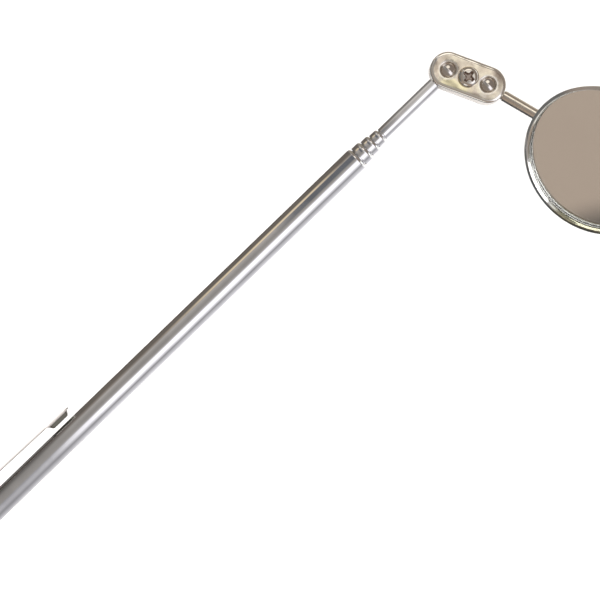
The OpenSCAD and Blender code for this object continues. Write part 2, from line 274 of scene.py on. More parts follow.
def plate_metal():
    """Warm nickel on the clamp plates with random stains, painted highlights lightening the rims and
    round the holes, a painted cream reflection on one patch between them, and painted light on the
    faces towards the other plate, which are made a light matt white."""
    made, tree, shader = new_material("warm_nickel")
    place = tree.node("ShaderNodeMapping", vector_type="TEXTURE")
    tree.put(place.inputs["Vector"], tree.where())
    place.inputs["Location"].default_value = BALL_1
    place.inputs["Rotation"].default_value = (0, 0, math.radians(PLATE_TURN))
    place.inputs["Scale"].default_value = (MM, MM, MM)
    x, y, z = tree.split(place.outputs[0])

    def spread(cx, wide=1.0, cy=0.0, high=1.0):
        """Distance from a point on the plate, in units of an ellipse's half-axes."""
        a = tree.math("DIVIDE", tree.math("SUBTRACT", x, cx), wide)
        b = tree.math("DIVIDE", tree.math("SUBTRACT", y, cy), high)
        return tree.math("SQRT", tree.math("ADD", tree.math("POWER", tree.math("ABSOLUTE", a), 2.0),
                                           tree.math("POWER", tree.math("ABSOLUTE", b), 2.0)))

    nearest = tree.math("MINIMUM", tree.math("MAXIMUM", x, 0.0), BALL_GAP)
    warp = tree.math("MULTIPLY_ADD", tree.noise(260.0, 2.0), 1.6, -0.8)
    # Painted highlight: the rims are lightened all round, standing in for their bright reflections.
    rim = tree.step(tree.math("ADD", spread(nearest), tree.math("MULTIPLY", warp, 0.3)), 4.5, 5.4)
    holes = tree.math("MINIMUM", spread(0.0), spread(BALL_GAP))
    # Painted highlight: a lighter ring round each hole.
    ring = tree.step(tree.math("ADD", holes, tree.math("MULTIPLY", warp, 0.3)), 3.5, 2.9)
    # Painted reflection: a cream patch where the bowed face would catch the softbox.
    cream_reflection = tree.step(tree.math("ADD", spread(4.2, 5.6, -4.1, 2.3), warp), 1.15, 0.45)
    cloud = tree.noise(230.0, 3.0)
    stain = tree.step(tree.noise(330.0, 4.0, rough=0.6), 0.48, 0.68)
    cloud = tree.step(cloud, 0.36, 0.64)
    colour = tree.mix(cloud, rgb((0.93, 0.86, 0.71)), rgb((0.79, 0.70, 0.59)))
    colour = tree.mix(tree.math("MULTIPLY", stain, 0.5), colour, rgb((0.66, 0.54, 0.50)))
    colour = tree.mix(cream_reflection, colour, rgb((1.0, 0.92, 0.64)))
    # Painted highlights on the rims and round the holes.
    painted_lighting = tree.math("MAXIMUM", tree.math("MULTIPLY", rim, 0.9), tree.math("MULTIPLY", ring, 0.6))
    colour = tree.mix(painted_lighting, colour, rgb((1.0, 0.985, 0.95)))
    # Painted light: the faces towards the other plate are made a light matt white instead of dark metal.
    upward = tree.split(tree.where("Normal"))[2]
    inward = tree.math("MULTIPLY", upward, tree.math("SIGN", z))
    inside = tree.math("MULTIPLY", tree.step(inward, -0.3, -0.7),
                       tree.step(tree.math("ABSOLUTE", z), 4.8, 4.5))
    colour = tree.mix(inside, colour, rgb((0.95, 0.93, 0.90)))
    tree.put(shader.inputs["Base Color"], colour)
    tree.put(shader.inputs["Metallic"], tree.math("MULTIPLY_ADD", inside, -0.7, 1.0))
    rough = tree.math("MULTIPLY_ADD", painted_lighting, -0.03, tree.smudge(0.08, 0.17))
    tree.put(shader.inputs["Roughness"], tree.math("MULTIPLY_ADD", inside, 0.55, rough))
    normal = tree.hair(0.10, (0.3, 0.3, 1.0), 2200.0)
    tree.put(shader.inputs["Normal"], tree.bump(tree.noise(110.0, 1.0), 0.45, 0.0012, normal))
    return made


def from_mirror(tree):
    """The way to a point from the stem's middle line, where it crosses the mirror's axis."""
    middle = ON_HEAD @ Vector((MIRROR_X * MM, 0, 0))
    return tree.vector("SUBTRACT", tree.where(), tuple(middle))


def case_metal():
    """Polished plate on the case, with painted shade: a darker yellowish tint on one stretch of its
    bead, darker still where that stretch faces outwards.
    """
    made, tree, shader = new_material("case_chrome")
    away = from_mirror(tree)
    side = Vector((-0.78, -0.61, -0.57)).normalized()
    reach = tree.vector("DOT_PRODUCT", away, tuple(side))
    # Painted shade: one stretch of the bead gets a darker yellowish colour.
    painted_shade_stretch = tree.step(reach, 20.9 * MM, 22.9 * MM)
    cloud = tree.step(tree.noise(230.0, 3.0), 0.36, 0.64)
    colour = tree.mix(cloud, rgb((0.84, 0.84, 0.83)), rgb((0.76, 0.75, 0.73)))
    # Painted shade: the darker yellowish colour of that stretch.
    painted_lighting = tree.mix(cloud, rgb((0.64, 0.60, 0.43)), rgb((0.42, 0.40, 0.33)))
    # Painted shade: where that stretch faces outwards it is darker still.
    outward = tree.vector("DOT_PRODUCT", tree.where("Normal"), tree.vector("NORMALIZE", away))
    painted_lighting = tree.mix(tree.step(outward, -0.2, -0.6), painted_lighting, rgb((0.46, 0.44, 0.33)))
    tree.put(shader.inputs["Base Color"], tree.mix(painted_shade_stretch, colour, painted_lighting))
    shader.inputs["Metallic"].default_value = 1.0
    tree.put(shader.inputs["Roughness"], tree.smudge(0.05, 0.11))
    tree.put(shader.inputs["Normal"], tree.hair(0.06, ROUND))
    return made


def screw_metal():
    """Bright plate on the screw, nut and rivets; the screw's cross recess is coloured a darker
    brown and made rougher.
    """
    made, tree, shader = new_material("screw_nickel")
    sunk = tree.step(tree.split(tree.where())[2], 5.95 * MM, 5.6 * MM)
    middle = ON_PLATES @ Vector((BALL_GAP / 2 * MM, 0, 0))
    apart = tree.vector("SUBTRACT", tree.where(), (middle.x, middle.y, 0.0))
    reach = tree.length(tree.vector("MULTIPLY", apart, (1.0, 1.0, 0.0)))
    inside = tree.step(reach, 2.15 * MM, 1.85 * MM)
    # The cross recess is coloured a darker brown and made rougher.
    recess_darkening = tree.math("MULTIPLY", sunk, inside)
    cloud = tree.noise(500.0, 3.0)
    colour = tree.mix(cloud, rgb((0.90, 0.87, 0.82)), rgb((0.72, 0.67, 0.61)))
    recess_colour = tree.mix(cloud, rgb((0.60, 0.52, 0.46)), rgb((0.44, 0.37, 0.33)))
    tree.put(shader.inputs["Base Color"], tree.mix(recess_darkening, colour, recess_colour))
    shader.inputs["Metallic"].default_value = 1.0
    tree.put(shader.inputs["Roughness"], tree.math("MULTIPLY_ADD", recess_darkening, 0.22, 0.09))
    tree.put(shader.inputs["Normal"], tree.bump(tree.noise(1800.0, 3.0), 0.15, 0.00003))
    return made


MATERIALS = {
    "chrome_plate": plated("polished_chrome", (0.85, 0.85, 0.86), (0.79, 0.79, 0.80), 0.035,
                           ALONG, scratch=0.05),
    "clip_chrome": clip_metal(),
    "case_chrome": case_metal(),
    "nickel_plate": plate_metal(),
    "stem_nickel": plated("drawn_nickel", (0.84, 0.79, 0.72), (0.74, 0.68, 0.61), 0.13,
                          (0.05, 0.05, 1.0), 0.3, (0.48, 0.42, 0.35), 0.2),
    "screw_nickel": screw_metal(),
    "ball_steel": plated("ball_steel", (0.74, 0.71, 0.68), (0.64, 0.60, 0.56), 0.05,
                         (1, 1, 1), 0.3, (0.45, 0.38, 0.34), 0.05),
    "sleeve_brass": plated("sleeve_brass", (0.80, 0.62, 0.30), (0.66, 0.47, 0.22), 0.22,
                           ROUND, 0.4, (0.40, 0.26, 0.13), 0.25),
}


def fibre():
    """Dark flecked fibre of the pad behind the glass."""
    made, tree, shader = new_material("pad_fibre")
    flecks = tree.noise(900.0, 6.0, rough=0.7)
    tree.put(shader.inputs["Base Color"],
             tree.mix(flecks, rgb((0.05, 0.045, 0.04)), rgb((0.12, 0.11, 0.10))))
    shader.inputs["Roughness"].default_value = 0.9
    tree.put(shader.inputs["Normal"], tree.bump(flecks, 0.6, 0.0001))
    return made


def silver():
    """The mirror's silvering, with a trace of haze."""
    made, tree, shader = new_material("silvering")
    cloud = tree.noise(60.0, 2.0)
    tree.put(shader.inputs["Base Color"],
             tree.mix(cloud, rgb((0.95, 0.945, 0.93)), rgb((0.92, 0.91, 0.90))))
    shader.inputs["Metallic"].default_value = 1.0
    tree.put(shader.inputs["Roughness"], tree.step(cloud, 0.3, 0.8, 0.0, 0.012))
    return made


def glass():
    """Clear glass with a little dust and a dull ground edge."""
    made, tree, shader = new_material("clear_glass")
    dust = tree.noise(700.0, 5.0, rough=0.65)
    mirror_axis = tuple(ON_HEAD.to_3x3() @ Vector((0, 0, 1)))
    off_axis = tree.length(tree.vector("CROSS_PRODUCT", from_mirror(tree), mirror_axis))
    ground = tree.step(off_axis, 23.74 * MM, 23.80 * MM)
    clear = tree.mix(dust, rgb((0.99, 1.0, 0.995)), rgb((0.965, 0.985, 0.975)))
    tree.put(shader.inputs["Base Color"], tree.mix(ground, clear, rgb((0.50, 0.49, 0.43))))
    smooth = tree.step(dust, 0.55, 0.85, 0.0, 0.03)
    tree.put(shader.inputs["Roughness"], tree.math("MULTIPLY_ADD", ground, 0.55, smooth))
    shader.inputs["Transmission Weight"].default_value = 1.0
    shader.inputs["IOR"].default_value = 1.5
    return made


MATERIALS["pad_fibre"] = fibre()
MATERIALS["silvering"] = silver()
MATERIALS["clear_glass"] = glass()

for entry in frame["record"]["subparts"]:
    cad = frame["nodes"][entry["node"]]
    cad.data.materials.clear()
    cad.data.materials.append(MATERIALS[entry["material_slot"]])

# ------------------------------------------------------------------ mesh helpers


def add(name, verts, faces, place, body, slot, stands_for=(), sharp=32.0, bevel=0.0):
    """Makes a piece from millimetre vertices in a sub-assembly's own frame."""
    mesh = bpy.data.meshes.new(name)
    mesh.from_pydata([place @ (Vector(v) * MM) for v in verts], [], faces)
    work = bmesh.new()
    work.from_mesh(mesh)
    bmesh.ops.remove_doubles(work, verts=work.verts, dist=1e-7)
    bmesh.ops.recalc_face_normals(work, faces=work.faces)
    work.to_mesh(mesh)
    work.free()
    mesh.polygons.foreach_set("use_smooth", [True] * len(mesh.polygons))
    mesh.set_sharp_from_angle(angle=math.radians(sharp))
    mesh.materials.append(MATERIALS[slot])
    piece = bpy.data.objects.new(name, mesh)
    bpy.context.scene.collection.objects.link(piece)
    if bevel:
        edge = piece.modifiers.new("edge", "BEVEL")
        edge.width = bevel * MM
        edge.segments = 3
        edge.limit_method = "ANGLE"
        edge.angle_limit = math.radians(40)
        edge.harden_normals = True
    even = piece.modifiers.new("even", "WEIGHTED_NORMAL")
    even.keep_sharp = True
    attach(piece, body)
    if stands_for:
        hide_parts(*stands_for)


def arc(x, r, radius, start, end, count=8, squash=1.0):
    """Profile points of an arc: 0 degrees points along the axis and 90 away from it."""
    points = []
    for i in range(count + 1):
        a = math.radians(start + (end - start) * i / count)
        points.append((x + radius * squash * math.cos(a), r + radius * math.sin(a)))
    return points


def band(first, second, count):
    """Faces between two closed rings of vertices, from where each ring starts."""
    return [(first + k, first + (k + 1) % count, second + (k + 1) % count, second + k)
            for k in range(count)]


def lathe(profile, closed, axis="X", count=TURN):
    """Turns (along, radius) points about the local X or Z axis."""
    verts, faces = [], []
    for along, radius in profile:
        for k in range(count):
            a = 2 * math.pi * k / count
            c, s = radius * math.cos(a), radius * math.sin(a)
            verts.append((along, c, s) if axis == "X" else (c, s, along))
    rings = len(profile)
    for i in range(rings if closed else rings - 1):
        faces += band(i * count, (i + 1) % rings * count, count)
    return verts, faces


def turned(name, profile, place, body, slot, stands_for=(), closed=True, axis="X", sharp=32.0,
           count=TURN, shift=(0, 0, 0)):
    """Makes a piece by turning a profile about the local X or Z axis of its sub-assembly."""
    verts, faces = lathe(profile, closed, axis, count)
    verts = [Vector(v) + Vector(shift) for v in verts]
    add(name, verts, faces, place, body, slot, stands_for, sharp)


# ------------------------------------------------------------------ handle

HANDLE_R, BORE_R = 4.0, 3.6
HANDLE_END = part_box("handle_tube")[1].x / MM
TUBE_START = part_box("handle_tube")[0].x / MM
CAP_END = 7.2
NOSE = 1.17

turned(
    "handle_barrel",
    [(TUBE_START + 0.12, HANDLE_R), (TUBE_START + 60, HANDLE_R), (TUBE_START + 115, HANDLE_R)]
    + arc(HANDLE_END - NOSE, HANDLE_R - NOSE, NOSE, 90, 0, 14)
    + arc(HANDLE_END - NOSE, HANDLE_R - NOSE, NOSE - 0.4, 0, 90, 8)
    + [(TUBE_START, BORE_R), (TUBE_START, HANDLE_R - 0.12)],
    ON_HANDLE, "handle", "chrome_plate", ["handle_tube"],
)
turned(
    "butt_end",
    [(0.45, 0.0), (0.42, 1.2), (0.2, 2.6), (0.04, 3.2)]
    + arc(0.22, 3.78, 0.22, 190, 90, 6)
    + [(2.3, HANDLE_R), (2.42, HANDLE_R - 0.1), (2.62, HANDLE_R - 0.1), (2.74, HANDLE_R)]
    + [(CAP_END - 0.12, HANDLE_R), (CAP_END, HANDLE_R - 0.12), (CAP_END, BORE_R)]
    + [(TUBE_START + 4, BORE_R), (TUBE_START + 4, 0.0)],
    ON_HANDLE, "handle", "chrome_plate", ["butt_cap"], closed=False,
)
CLIP_T = 0.45
collar_low, collar_high = (p.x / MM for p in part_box("clip_collar"))
turned(
    "clip_band",
    arc(collar_low + 0.15, HANDLE_R + CLIP_T - 0.15, 0.15, 180, 90, 5)
    + arc(collar_high - 0.15, HANDLE_R + CLIP_T - 0.15, 0.15, 90, 0, 5)
    + [(collar_high, HANDLE_R + 0.01), (collar_low, HANDLE_R + 0.01)],
    ON_HANDLE, "handle", "clip_chrome", ["clip_collar"],
)

# ------------------------------------------------------------------ pocket clip

CLIP_GAP = 0.25  # between the collar and the strip over it
CLIP_ROOT = (11.5, HANDLE_R + CLIP_T + CLIP_GAP + CLIP_T / 2)
CLIP_Y = (8.07, 7.42)
CLIP_BEND, CLIP_TIP = 47.3, 56.8
TIP_Y, BOSS_Y = 7.12, 5.25
CLIP_HALF, TIP_ROUND = 2.5, 1.2
BOSS_RAMP, BOSS_IN, BOSS_OUT = 1.5, 0.9, 1.85  # its end slopes, and where its sides slope


def clip_path():
    """Middle line of the strip, from its root over the collar to its tip, in even steps."""
    rise, spacing = 1.6, 0.22
    first = (CLIP_ROOT[0] + 1.5, CLIP_ROOT[1] + rise)
    line = [CLIP_ROOT] + arc(first[0], first[1], rise, -90, -30, 10)
    climb = CLIP_Y[0] - line[-1][1] - rise / 2
    second = (line[-1][0] + climb / math.tan(math.radians(60)) + rise * math.cos(math.radians(30)),
              CLIP_Y[0] - rise)
    line += arc(second[0], second[1], rise, 150, 90, 10)
    bend = [(CLIP_BEND - 0.9, CLIP_Y[1] + 0.01), (CLIP_BEND - 0.45, CLIP_Y[1] - 0.01),
            (CLIP_BEND + 0.35, TIP_Y + 0.04), (CLIP_BEND + 0.8, TIP_Y + 0.01)]
    line += bend + [(CLIP_TIP, TIP_Y)]
    even = []
    for (x0, y0), (x1, y1) in zip(line, line[1:]):
        steps = max(1, round(math.hypot(x1 - x0, y1 - y0) / spacing))
        even += [(x0 + (x1 - x0) * i / steps, y0 + (y1 - y0) * i / steps) for i in range(steps)]
    return even + [line[-1]]


def ease(value, low, high):
    """0 below low and 1 above high, with a smooth slope between them."""
    t = min(1.0, max(0.0, (value - low) / (high - low)))
    return t * t * (3 - 2 * t)


def clip_strip():
    """The bent strip with a rounded tip and a boat-shaped boss pressed into its end."""
    line = clip_path()
    across = [math.sin(math.radians(a)) for a in range(-90, 91, 6)]
    boss_low, boss_high = CLIP_BEND + 0.5, CLIP_TIP - 0.35
    depth = TIP_Y - CLIP_T / 2 - BOSS_Y
    top, under = [], []
    for i, (x, y) in enumerate(line):
        ahead, behind = line[min(i + 1, len(line) - 1)], line[max(i - 1, 0)]
        slope = Vector((ahead[0] - behind[0], ahead[1] - behind[1])).normalized()
        left = max(0.0, CLIP_TIP - x)
        half = CLIP_HALF
        if left < TIP_ROUND:
            half += math.sqrt(max(0.0, TIP_ROUND**2 - (TIP_ROUND - left) ** 2)) - TIP_ROUND
        for u in across:
            z = u * half
            lengthways = min(ease(x, boss_low, boss_low + BOSS_RAMP),
                             1 - ease(x, boss_high - BOSS_RAMP, boss_high))
            sideways = 1 - ease(abs(z), BOSS_IN, BOSS_OUT)
            sink = depth * lengthways * sideways
            nx, ny = -slope[1] * CLIP_T / 2, slope[0] * CLIP_T / 2
            top.append((x + nx, y + ny - sink, z))
            under.append((x - nx, y - ny - sink, z))
    n, rows = len(across), len(line)
    verts = top + under
    base = len(top)
    faces = []
    for i in range(rows - 1):
        for k in range(n - 1):
            a, b = i * n + k, (i + 1) * n + k
            faces.append((a, a + 1, b + 1, b))
            faces.append((base + a, base + b, base + b + 1, base + a + 1))
        for k in (0, n - 1):
            a, b = i * n + k, (i + 1) * n + k
            faces.append((a, b, base + b, base + a))
    for row in (0, (rows - 1) * n):
        for k in range(n - 1):
            faces.append((row + k, row + k + 1, base + row + k + 1, base + row + k))
    return verts, faces


add("clip_strip", *clip_strip(), ON_HANDLE, "clip", "clip_chrome", ["clip_arm"], 38.0, bevel=0.09)

# ------------------------------------------------------------------ drawn sections

SECTION_R, SECTION_WALL = (2.8, 2.4, 2.0), 0.2
FERRULE_R, FERRULE_NOSE = (3.55, 3.05, 2.55), (1.1, 1.0, 0.9)
MOUTH_R = (2.43, 2.03, 1.63)
for i, name in enumerate(("section_2", "section_3", "section_4")):
    low, high = (p.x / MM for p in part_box(name + "_ferrule"))
    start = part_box(name + "_tube")[0].x / MM
    r, outer, nose, mouth = SECTION_R[i], FERRULE_R[i], FERRULE_NOSE[i], MOUTH_R[i]
    turned(
        name + "_barrel",
        [(start, r - SECTION_WALL), (start, r - 0.06), (start + 0.06, r), (start + 80, r)]
        + [(high - nose, r), (high - nose, r - SECTION_WALL)],
        ON_HANDLE, name, "chrome_plate", [name + "_tube"],
    )
    edge = 0.07
    turned(
        name + "_collar",
        [(low, r), (low, outer - edge)]
        + arc(low + edge, outer - edge, edge, 180, 90, 4)[1:]
        + arc(high - nose, outer - nose, nose, 90, 4, 14)
        + [(high, mouth + 0.04), (high - 0.04, mouth), (high - nose, mouth), (high - nose, r)],
        ON_HANDLE, name, "chrome_plate", [name + "_ferrule"],
    )

# ------------------------------------------------------------------ rod and balls

ROD_R, SHANK_R, BALL_R, SPIGOT_BORE = 1.6, 2.1, 3.97, 1.33
rod_low, rod_high = (p.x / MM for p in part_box("rod"))
SHANK_GAP, NECK_LEN = 0.4, 5.5
shank_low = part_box("section_4_ferrule")[1].x / MM + SHANK_GAP
neck = BALL_1.x / MM - NECK_LEN
turned(
    "rod_shaft",
    [(rod_low, 0.0), (rod_low, ROD_R - 0.2), (rod_low + 0.2, ROD_R), (rod_low + 80, ROD_R)]
    + [(shank_low, ROD_R), (shank_low, SHANK_R - 0.15)]
    + arc(shank_low + 0.15, SHANK_R - 0.15, 0.15, 180, 90, 5)[1:]
    + [(shank_low + 12, SHANK_R), (neck - 0.55, SHANK_R), (neck, ROD_R)]
    + [(rod_high, ROD_R), (rod_high, 0.0)],
    ON_HANDLE, "rod", "chrome_plate", ["rod"], closed=False,
)


def ball_profile(bore, from_low):
    """A ball with a drilled hole on one side, as profile points about its own middle."""
    a = math.degrees(math.asin((bore + 0.12) / BALL_R))
    deep = 2.0
    if from_low:
        ball = arc(0, 0, BALL_R, 180 - a, 0, 48)
        return [(-deep, 0.0), (-deep, bore), (ball[0][0] + 0.1, bore)] + ball
    ball = arc(0, 0, BALL_R, 180, a, 48)
    return ball + [(ball[-1][0] - 0.1, bore), (-deep, bore), (-deep, 0.0)]


turned("rod_knuckle", ball_profile(ROD_R, True), Matrix.Translation(BALL_1), "rod", "ball_steel",
       ["rod_ball"], closed=False)
turned("stem_knuckle", ball_profile(SPIGOT_BORE, False), ON_HEAD, "stem_pivot", "ball_steel",
       ["stem_ball"], closed=False)

# ------------------------------------------------------------------ clamp plates

PLATE_R, PLATE_T, PLATE_Z, HOLE_R = 5.9, 1.0, 3.0, 2.6
RIM_IN, RIM_UP = 1.15, 0.72
HOLES = ((0.0, HOLE_R), (BALL_GAP, HOLE_R), (BALL_GAP / 2, 1.85))


def obround(inset, count=40):
    """Points round the plate's outline, moved inwards."""
    r = PLATE_R - inset
    points = []
    for centre, start in ((BALL_GAP, -90), (0.0, 90)):
        for i in range(count + 1):
            a = math.radians(start + 180 * i / count)
            points.append((centre + r * math.cos(a), r * math.sin(a)))
    straight = []
    whole = len(points)
    for i, p in enumerate(points):
        straight.append(p)
        q = points[(i + 1) % whole]
        if math.dist(p, q) > 3:
            straight += [(p[0] + (q[0] - p[0]) * k / 24, p[1] + (q[1] - p[1]) * k / 24)
                         for k in range(1, 24)]
    return straight


def circle(x, r, count=72):
    return [(x + r * math.cos(2 * math.pi * k / count), r * math.sin(2 * math.pi * k / count))
            for k in range(count)]


def plate_dish(x, y):
    """How far the pressed plate's face stands from flat: bowed by the screw between the balls."""
    along = (x - BALL_GAP / 2) / (BALL_GAP / 2 + PLATE_R)
    return -0.05 * (y / PLATE_R) ** 2 - 0.06 * along**2 + 0.02 * math.cos(3.0 * along)


def flat_region(outer, holes, level, dished):
    """Fills the flat of a plate between its rim and its holes with small triangles."""
    points, edges = [], []  # the outlines, then a grid of points between them
    for loop in [outer] + holes:
        first = len(points)
        points += loop
        edges += [(first + i, first + (i + 1) % len(loop)) for i in range(len(loop))]
    spacing = 0.55
    inner_r = PLATE_R - RIM_IN - 0.3
    for i in range(-12, 38):
        for k in range(-11, 12):
            x, y = i * spacing + (k % 2) * spacing / 2, k * spacing * 0.866
            near = math.hypot(x - min(max(x, 0.0), BALL_GAP), y)
            if near < inner_r and all(math.hypot(x - c, y) > r + 0.75 for c, r in HOLES):
                points.append((x, y))
    verts, _, faces, *_ = geometry.delaunay_2d_cdt([Vector(p) for p in points], edges, [], 0, 1e-6)
    kept = []
    # Each hole is open up to just inside the flats between its outline's points.
    limits = [(c, 0.9985 * math.dist(loop[0], (c, 0))) for (c, _), loop in zip(HOLES, holes)]
    for face in faces:
        cx = sum(verts[v].x for v in face) / len(face)
        cy = sum(verts[v].y for v in face) / len(face)
        inside = math.hypot(cx - min(max(cx, 0.0), BALL_GAP), cy) < PLATE_R
        open_air = all(math.hypot(cx - c, cy) > limit for c, limit in limits)
        if inside and open_air:
            kept.append(tuple(face))
    return [(v.x, v.y, level + (plate_dish(v.x, v.y) if dished else 0.0)) for v in verts], kept


def back_r(r):
    """Radius of a plate's hole at its back, where the holes over the balls are eased more."""
    return r + 0.04 + (0.05 if r == HOLE_R else 0.0)


def plate_mesh():
    """An obround pressed plate: a broad rolled rim and rounded edges round its three holes."""
    verts, faces = [], []

    def skin(loops):
        first = len(verts)
        n = len(loops[0])
        for loop in loops:
            verts.extend(loop)
        for i in range(len(loops) - 1):
            faces.extend(band(first + i * n, first + (i + 1) * n, n))

    rim = [(0.12, PLATE_Z), (0.07, PLATE_Z + 0.02), (0.02, PLATE_Z + 0.10), (0.0, PLATE_Z + 0.25)]
    top = PLATE_Z + PLATE_T
    steps = 12
    for i in range(steps + 1):
        a = math.radians(90 * i / steps)
        rim.append((RIM_IN * (1 - math.cos(a)), top - RIM_UP + RIM_UP * math.sin(a)))
    loops = []
    for inset, z in rim:
        share = ease(inset, 0.0, RIM_IN)
        loops.append([(x, y, z + share * plate_dish(x, y)) for x, y in obround(inset)])
    skin(loops)
    round_up, round_in = 0.22, 0.30
    hole_top = []
    for x, r in HOLES:
        wall = []
        for i in range(7):
            a = math.radians(90 * i / 6)
            wall.append((r + round_in * (1 - math.sin(a)), top - round_up * (1 - math.cos(a))))
        hole_top.append(circle(x, r + round_in))
        rings = [[(px, py, z + plate_dish(px, py)) for px, py in circle(x, q)] for q, z in wall]
        rings.append([(px, py, PLATE_Z + 0.05) for px, py in circle(x, r)])
        rings.append([(px, py, PLATE_Z) for px, py in circle(x, back_r(r))])
        skin(rings)
    for outer, holes, level, dished in (
        (obround(RIM_IN), hole_top, top, True),
        (obround(rim[0][0]), [circle(x, back_r(r)) for x, r in HOLES], PLATE_Z, False),
    ):
        first = len(verts)
        more, kept = flat_region(outer, holes, level, dished)
        verts.extend(more)
        faces.extend(tuple(first + v for v in face) for face in kept)
    return verts, faces


plate_verts, plate_faces = plate_mesh()
for name, side in (("front_plate", 1), ("rear_plate", -1)):
    add(name + "_pressing", [(x, y, z * side) for x, y, z in plate_verts], plate_faces, ON_PLATES,
        "plates", "nickel_plate", [name], sharp=40.0)

# ------------------------------------------------------------------ clamp screw and nut

HEAD_R, HEAD_H, SCREW_R = 3.45, 2.1, 1.75
NUT_FLAT, NUT_H = 3.0, 2.6
CROSS_TURN = -19.0


def head_height(r):
    """Height of the pan head at a radius: a gently domed top rolling over to its rim."""
    flat, dome, skirt = 1.9, 0.05, 0.35
    if r <= flat:
        return HEAD_H - dome * (r / flat) ** 2
    t = min(1.0, (r - flat) / (HEAD_R - flat))
    return skirt + (HEAD_H - dome - skirt) * math.sqrt(max(0.0, 1 - t * t))


def cross_depth(x, y):
    """Depth of the cross recess: four tapering wings that slope up to their ends."""
    c, s = math.cos(math.radians(CROSS_TURN)), math.sin(math.radians(CROSS_TURN))
    x, y = x * c + y * s, -x * s + y * c
    far, near = max(abs(x), abs(y)), min(abs(x), abs(y))
    wing_end, wing_half, taper, bowl_r, deepest = 2.05, 0.72, 0.1, 1.15, 1.35
    end_slope, side_slope, bowl_slope = 1.8, 4.0, 2.6
    wing = min((wing_end - far) * end_slope, (wing_half - taper * far - near) * side_slope)
    bowl = (bowl_r - math.hypot(x, y)) * bowl_slope
    return min(deepest, max(0.0, wing, bowl))


def screw_head():
    """The clamp screw: its domed head with the cross recess, and its plain shank under it."""
    rings, around = 76, 180
    top = PLATE_Z + PLATE_T
    verts, faces = [(0, 0, top + head_height(0) - cross_depth(0, 0))], []
    for i in range(1, rings + 1):
        r = HEAD_R * math.sin(math.radians(90 * i / rings)) if i < rings else HEAD_R
        for k in range(around):
            a = 2 * math.pi * k / around
            x, y = r * math.cos(a), r * math.sin(a)
            verts.append((x, y, top + head_height(r) - cross_depth(x, y)))
    for i in range(rings - 1):
        faces += band(1 + i * around, 1 + (i + 1) * around, around)
    faces += [(0, 1 + k, 1 + (k + 1) % around) for k in range(around)]
    below = [(HEAD_R, top + 0.1), (HEAD_R - 0.1, top), (SCREW_R, top), (SCREW_R, -top - NUT_H)]
    below += [(SCREW_R - 0.12, -top - NUT_H - 0.5), (SCREW_R - 0.3, -top - NUT_H - 0.6),
              (0.0, -top - NUT_H - 0.6)]
    last = 1 + (rings - 1) * around
    for r, z in below:
        first = len(verts)
        for k in range(around):
            a = 2 * math.pi * k / around
            verts.append((r * math.cos(a), r * math.sin(a), z))
        faces += band(last, first, around)
        last = first
    return verts, faces


ON_SCREW = ON_PLATES @ Matrix.Translation(Vector((BALL_GAP / 2, 0, 0)) * MM)
add("clamp_screw_turned", *screw_head(), ON_SCREW, "plates", "screw_nickel", ["clamp_screw"], 50.0)


def hex_nut():
    """A hexagon nut, its corners chamfered on both faces."""
    around, chamfer = 144, 0.45
    low, high = -PLATE_Z - PLATE_T - NUT_H, -PLATE_Z - PLATE_T
    past_corners, face_r, hole_r = 3 * NUT_FLAT, NUT_FLAT - 0.25, SCREW_R + 0.02
    levels = [(low, SCREW_R + 0.25), (low, face_r), (low + 0.04, NUT_FLAT),
              (low + chamfer, past_corners), (high - chamfer, past_corners),
              (high - 0.04, NUT_FLAT), (high, face_r), (high, SCREW_R + 0.25),
              (high - 0.2, hole_r), (low + 0.2, hole_r)]
    verts, faces = [], []
    for z, limit in levels:
        for k in range(around):
            a = 2 * math.pi * k / around
            wedge = (a + math.pi / 6) % (math.pi / 3) - math.pi / 6
            r = min(NUT_FLAT / math.cos(wedge), limit)
            verts.append((r * math.cos(a), r * math.sin(a), z))
    for i in range(len(levels)):
        faces += band(i * around, (i + 1) % len(levels) * around, around)
    return verts, faces


add("clamp_nut_milled", *hex_nut(), ON_SCREW, "plates", "screw_nickel", ["clamp_nut"], 28.0)

# ------------------------------------------------------------------ stem and saddle

STEM_R, NECK_R, SPIGOT_R = 1.75, 1.55, 1.3
turned(
    "stem_shaft",
    [(-1.98, 0.0), (-1.98, SPIGOT_R - 0.1), (-1.88, SPIGOT_R), (BALL_R + 0.2, SPIGOT_R)]
    + [(BALL_R + 0.2, NECK_R - 0.1), (BALL_R + 0.3, NECK_R), (BALL_R + 2.3, NECK_R)]
    + [(BALL_R + 2.45, NECK_R + 0.06), (BALL_R + 2.65, STEM_R), (20, STEM_R), (40, STEM_R)]
    + arc(MIRROR_X + 11.3, STEM_R - 0.7, 0.7, 90, 0, 8)
    + [(MIRROR_X + 12, 0.0)],
    ON_HEAD, "mirror_head", "stem_nickel", ["mirror_stem"], closed=False,
)


